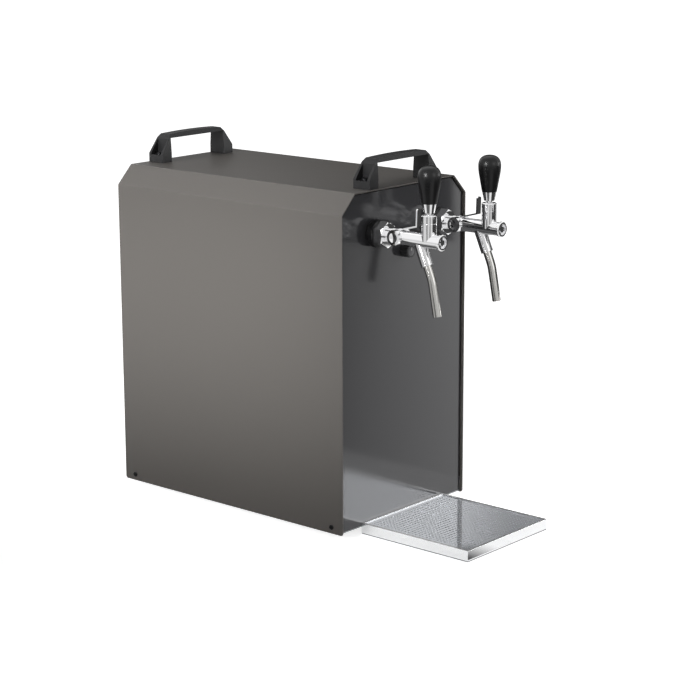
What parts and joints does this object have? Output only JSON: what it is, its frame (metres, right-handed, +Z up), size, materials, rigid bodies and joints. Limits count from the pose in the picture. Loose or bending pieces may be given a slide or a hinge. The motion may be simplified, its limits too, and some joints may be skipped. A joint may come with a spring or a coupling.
{
  "type": "countertop beer chiller with two taps",
  "caption": "Countertop electric dry-contact beer chiller with compensator taps, carrying handles and a loose perforated drip tray.",
  "frame": {"origin": "centre of the whole object's footprint, on the table top it stands on", "axes": "+Z up, -Y towards the front with the taps and the tray, +X to the right as seen from the front"},
  "size_m": [0.2732, 0.6328, 0.524],
  "materials": {
    "cabinet_paint": "satin powder coat, dark graphite",
    "gloss_panel": "gloss, near black",
    "galvanised": "galvanised sheet",
    "rubber": "matte",
    "black_screw": "black oxide",
    "black_moulding": "fine moulded grain",
    "grey_moulding": "moulded",
    "knob": "satin phenolic",
    "black_enamel": "black enamel",
    "aluminium": "as cast",
    "foam": "rigid foam",
    "copper": "drawn copper",
    "steel": "bright stainless",
    "chrome": "polished chrome plate"
  },
  "bodies": {
    "cabinet": {"outer_wrap": "cabinet_paint", "cover_screws": "black_screw", "base_pan": "galvanised", "rubber_feet": "rubber", "front_panel": "gloss_panel", "rear_panel": "cabinet_paint", "front_handle": "black_moulding", "rear_handle": "black_moulding", "handle_screws": "black_screw", "left_tap_body": "chrome", "left_bonnet_nut": "chrome", "left_spout": "chrome", "right_tap_body": "chrome", "right_bonnet_nut": "chrome", "right_spout": "chrome", "collars": "black_moulding", "shanks": "steel", "shank_back_nuts": "chrome", "shank_washers": "rubber", "coupling_nuts": "chrome", "end_caps": "chrome", "spout_sleeves": "chrome", "spindle_plugs": "chrome", "front_beer_lines": "steel", "rear_beer_lines": "steel", "product_inlets": "grey_moulding", "thermostat_body": "grey_moulding", "sensor_tube": "copper", "inner_frame": "galvanised", "chill_block": "aluminium", "insulation": "foam", "compressor": "black_enamel", "compressor_grommets": "rubber", "start_relay": "black_moulding", "condenser": "black_enamel", "fan_shroud": "galvanised", "fan_motor": "black_enamel", "suction_pipe": "copper", "discharge_pipe": "copper", "filter_drier": "copper", "mains_inlet": "black_moulding", "switch_bezel": "black_moulding"},
    "left_pour_lever": {"left_lever_rod": "chrome", "left_lever_knob": "knob"},
    "left_valve": {"left_valve_plunger": "steel", "left_valve_seal": "rubber"},
    "left_flow_control": {"left_flow_lever": "chrome"},
    "right_pour_lever": {"right_lever_rod": "chrome", "right_lever_knob": "knob"},
    "right_valve": {"right_valve_plunger": "steel", "right_valve_seal": "rubber"},
    "right_flow_control": {"right_flow_lever": "chrome"},
    "thermostat_control": {"thermostat_dial": "black_moulding", "thermostat_shaft": "steel"},
    "power_switch": {"power_rocker": "black_moulding"},
    "fan": {"fan_rotor": "aluminium"},
    "drip_tray": {"drip_pan": "steel", "drip_pan_pads": "rubber"},
    "tray_grid": {"drip_grid": "steel"}
  },
  "joints": [
    {"name": "left_pour", "type": "hinge", "parent": "cabinet", "child": "left_pour_lever", "pos_m": [-0.066, -0.2271, 0.4517], "axis": [1, 0, 0], "range_deg": [0, 18]},
    {"name": "left_valve_slide", "type": "slide", "parent": "cabinet", "child": "left_valve", "axis": [0, 1, 0], "range_m": [0, 0.00819]},
    {"name": "left_flow", "type": "hinge", "parent": "cabinet", "child": "left_flow_control", "pos_m": [-0.066, -0.1756, 0.4227], "axis": [-1, 0, 0], "range_deg": [0, 60]},
    {"name": "right_pour", "type": "hinge", "parent": "cabinet", "child": "right_pour_lever", "pos_m": [0.066, -0.2271, 0.4517], "axis": [1, 0, 0], "range_deg": [0, 18]},
    {"name": "right_valve_slide", "type": "slide", "parent": "cabinet", "child": "right_valve", "axis": [0, 1, 0], "range_m": [0, 0.00819]},
    {"name": "right_flow", "type": "hinge", "parent": "cabinet", "child": "right_flow_control", "pos_m": [0.066, -0.1756, 0.4227], "axis": [-1, 0, 0], "range_deg": [0, 60]},
    {"name": "thermostat_turn", "type": "hinge", "parent": "cabinet", "child": "thermostat_control", "pos_m": [0, -0.1431, 0.389], "axis": [0, 1, 0], "range_deg": [0, 290]},
    {"name": "switch_rock", "type": "hinge", "parent": "cabinet", "child": "power_switch", "pos_m": [0.032, 0.2934, 0.044], "axis": [1, 0, 0], "range_deg": [0, 18]},
    {"name": "fan_spin", "type": "hinge", "parent": "cabinet", "child": "fan", "pos_m": [0, 0.2189, 0.1165], "axis": [0, 1, 0], "continuous": true},
    {"name": "tray_pull", "type": "slide", "parent": "cabinet", "child": "drip_tray", "axis": [0, -1, 0], "range_m": [0, 0.1]},
    {"name": "grid_lift", "type": "slide", "parent": "drip_tray", "child": "tray_grid", "axis": [0, 0, 1], "range_m": [0, 0.04]}
  ],
  "couplings": [
    {"joint": "left_valve_slide", "follows": "left_pour", "m_per_rad": 0.026},
    {"joint": "right_valve_slide", "follows": "right_pour", "m_per_rad": 0.026}
  ]
}
